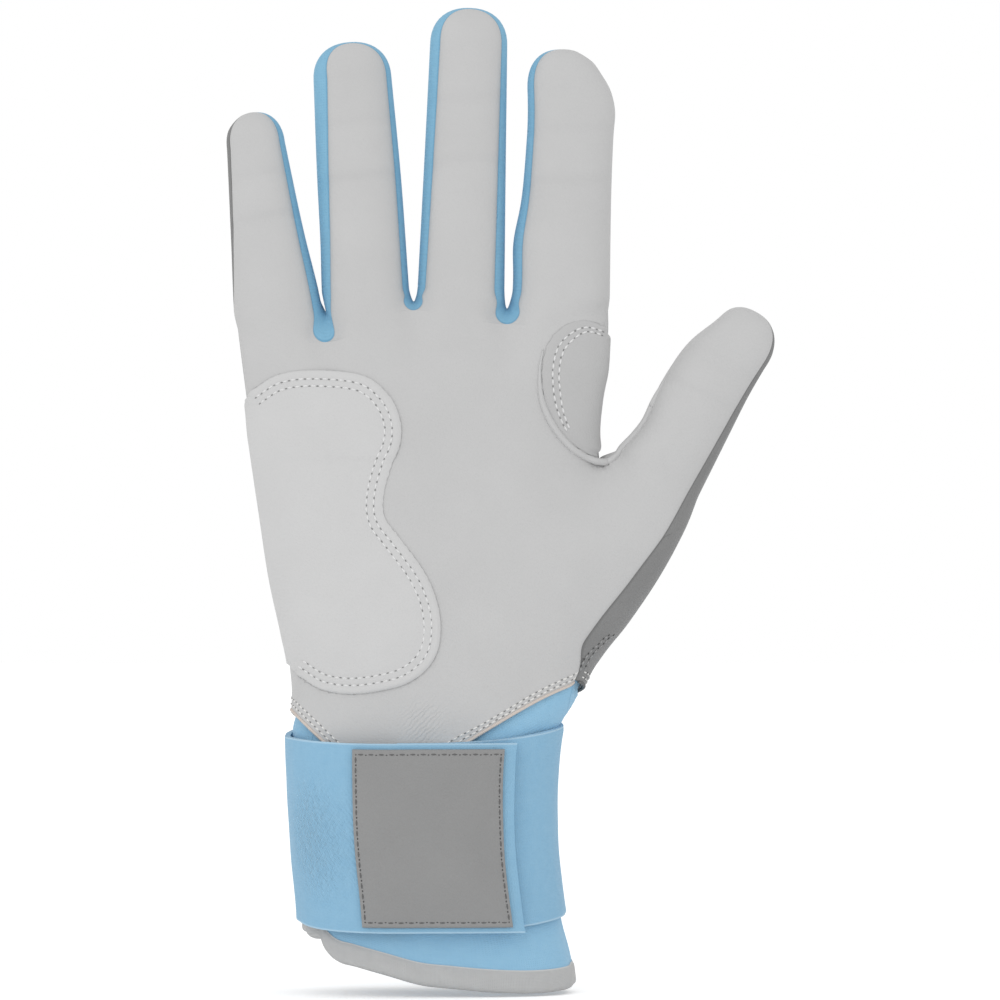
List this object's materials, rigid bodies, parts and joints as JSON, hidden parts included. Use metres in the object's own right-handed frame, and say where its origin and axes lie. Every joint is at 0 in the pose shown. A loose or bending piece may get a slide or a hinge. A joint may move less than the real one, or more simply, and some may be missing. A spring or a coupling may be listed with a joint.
{
  "type": "batting glove",
  "caption": "Right-hand leather batting glove with stretch finger side walls, a sewn heel patch, a long bound cuff and a hook-and-loop wrist strap that peels open.",
  "frame": {"origin": "centre of the cuff's mouth, where the hand goes in", "axes": "+Z along the fingers, -Y out of the palm, +X towards the thumb"},
  "size_m": [0.1458, 0.053, 0.2625],
  "materials": {
    "palm_leather": "soft matt sheepskin, light grey",
    "back_leather": "soft matt leather, mid grey",
    "stretch_knit": "fine stretch knit, light blue",
    "cuff_fabric": "stretch knit over thin foam, light blue",
    "strap_fabric": "brushed loop fabric, light blue",
    "loop_tape": "loop tape, light blue",
    "hook_tape": "hook tape, blue",
    "badge_leather": "matt leather, mid grey",
    "binding_tape": "folded binding tape, light grey"
  },
  "bodies": {
    "hand": {"palm_panel": "palm_leather", "back_panel": "back_leather", "little_ring_web": "stretch_knit", "ring_middle_web": "stretch_knit", "middle_index_web": "stretch_knit", "cuff_palm": "cuff_fabric", "cuff_palm_binding": "binding_tape", "cuff_back": "cuff_fabric", "cuff_back_binding": "binding_tape", "heel_patch": "palm_leather", "crotch_patch": "palm_leather", "strap_band": "strap_fabric", "strap_loop_tape": "loop_tape"},
    "little_base": {"little_base_palm": "palm_leather", "little_base_back": "back_leather", "little_base_fourchette_right": "stretch_knit"},
    "little_tip": {"little_tip_palm": "palm_leather", "little_tip_back": "back_leather", "little_tip_fourchette_right": "stretch_knit"},
    "ring_base": {"ring_base_palm": "palm_leather", "ring_base_back": "back_leather", "ring_base_fourchette_left": "stretch_knit", "ring_base_fourchette_right": "stretch_knit"},
    "ring_tip": {"ring_tip_palm": "palm_leather", "ring_tip_back": "back_leather", "ring_tip_fourchette_left": "stretch_knit", "ring_tip_fourchette_right": "stretch_knit"},
    "middle_base": {"middle_base_palm": "palm_leather", "middle_base_back": "back_leather", "middle_base_fourchette_left": "stretch_knit", "middle_base_fourchette_right": "stretch_knit"},
    "middle_tip": {"middle_tip_palm": "palm_leather", "middle_tip_back": "back_leather", "middle_tip_fourchette_left": "stretch_knit", "middle_tip_fourchette_right": "stretch_knit"},
    "index_base": {"index_base_palm": "palm_leather", "index_base_back": "back_leather", "index_base_fourchette_left": "stretch_knit"},
    "index_tip": {"index_tip_palm": "palm_leather", "index_tip_back": "back_leather", "index_tip_fourchette_left": "stretch_knit"},
    "thumb_base": {"thumb_base_palm": "palm_leather", "thumb_base_back": "back_leather"},
    "thumb_tip": {"thumb_tip_palm": "palm_leather", "thumb_tip_back": "back_leather"},
    "tab": {"strap_tab": "strap_fabric", "strap_hook_tape": "hook_tape", "strap_badge": "badge_leather"}
  },
  "joints": [
    {"name": "little_base_bend", "type": "hinge", "parent": "hand", "child": "little_base", "pos_m": [-0.041, -0.0086, 0.175], "axis": [0.9923, 0, 0.1236], "range_deg": [0, 80]},
    {"name": "little_knuckle_bend", "type": "hinge", "parent": "little_base", "child": "little_tip", "pos_m": [-0.0438, -0.0084, 0.1978], "axis": [0.9923, 0, 0.1236], "range_deg": [0, 90]},
    {"name": "ring_base_bend", "type": "hinge", "parent": "hand", "child": "ring_base", "pos_m": [-0.017, -0.0092, 0.1792], "axis": [0.9979, 0, 0.0645], "range_deg": [0, 80]},
    {"name": "ring_knuckle_bend", "type": "hinge", "parent": "ring_base", "child": "ring_tip", "pos_m": [-0.0189, -0.0094, 0.2081], "axis": [0.9979, 0, 0.0645], "range_deg": [0, 90]},
    {"name": "middle_base_bend", "type": "hinge", "parent": "hand", "child": "middle_base", "pos_m": [0.0083, -0.0096, 0.1796], "axis": [0.9995, 0, -0.0314], "range_deg": [0, 80]},
    {"name": "middle_knuckle_bend", "type": "hinge", "parent": "middle_base", "child": "middle_tip", "pos_m": [0.0093, -0.0097, 0.2126], "axis": [0.9995, 0, -0.0314], "range_deg": [0, 90]},
    {"name": "index_base_bend", "type": "hinge", "parent": "hand", "child": "index_base", "pos_m": [0.035, -0.0096, 0.1782], "axis": [0.9984, 0, -0.0558], "range_deg": [0, 80]},
    {"name": "index_knuckle_bend", "type": "hinge", "parent": "index_base", "child": "index_tip", "pos_m": [0.0366, -0.0097, 0.2072], "axis": [0.9984, 0, -0.0558], "range_deg": [0, 90]},
    {"name": "thumb_base_bend", "type": "hinge", "parent": "hand", "child": "thumb_base", "pos_m": [0.0612, -0.0106, 0.1315], "axis": [0.866, 0, -0.5], "range_deg": [0, 60]},
    {"name": "thumb_knuckle_bend", "type": "hinge", "parent": "thumb_base", "child": "thumb_tip", "pos_m": [0.0722, -0.0102, 0.1506], "axis": [0.866, 0, -0.5], "range_deg": [0, 70]},
    {"name": "strap_peel", "type": "hinge", "parent": "hand", "child": "tab", "pos_m": [-0.0383, 0, 0.0356], "axis": [0.0604, 0, -0.9982], "range_deg": [0, 150]}
  ]
}
